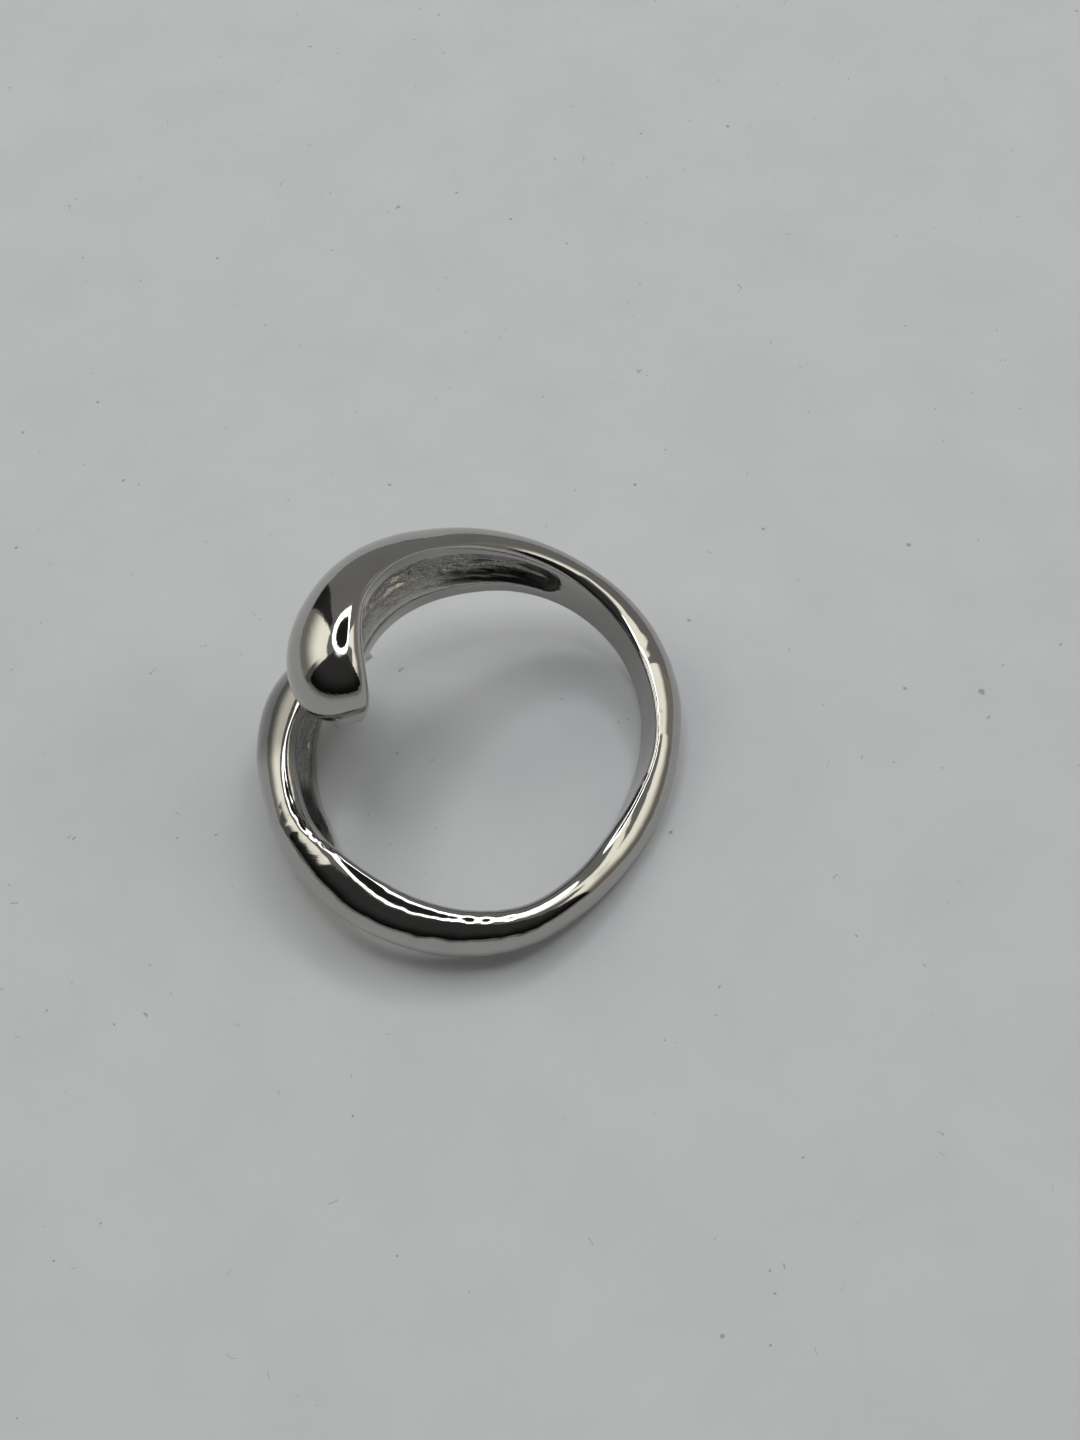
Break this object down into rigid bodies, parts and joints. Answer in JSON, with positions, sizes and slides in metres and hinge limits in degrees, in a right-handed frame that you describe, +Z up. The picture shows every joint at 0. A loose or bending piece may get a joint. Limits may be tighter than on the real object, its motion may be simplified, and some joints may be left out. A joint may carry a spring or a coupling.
{
  "type": "open ring",
  "caption": "Polished open finger ring whose domed drop-shaped ends wrap past each other, one above the other.",
  "frame": {"origin": "middle of the bounding box, on the surface the ring lies on", "axes": "+Z up from the table; +Y away from the viewer of the picture; +X to the viewer's right, towards the thin back of the band"},
  "size_m": [0.0218, 0.0212, 0.0136],
  "materials": {
    "polished_metal": "bright polished plating, left as cast inside the two pockets"
  },
  "bodies": {
    "root": {"open_ring": "polished_metal"}
  },
  "joints": []
}
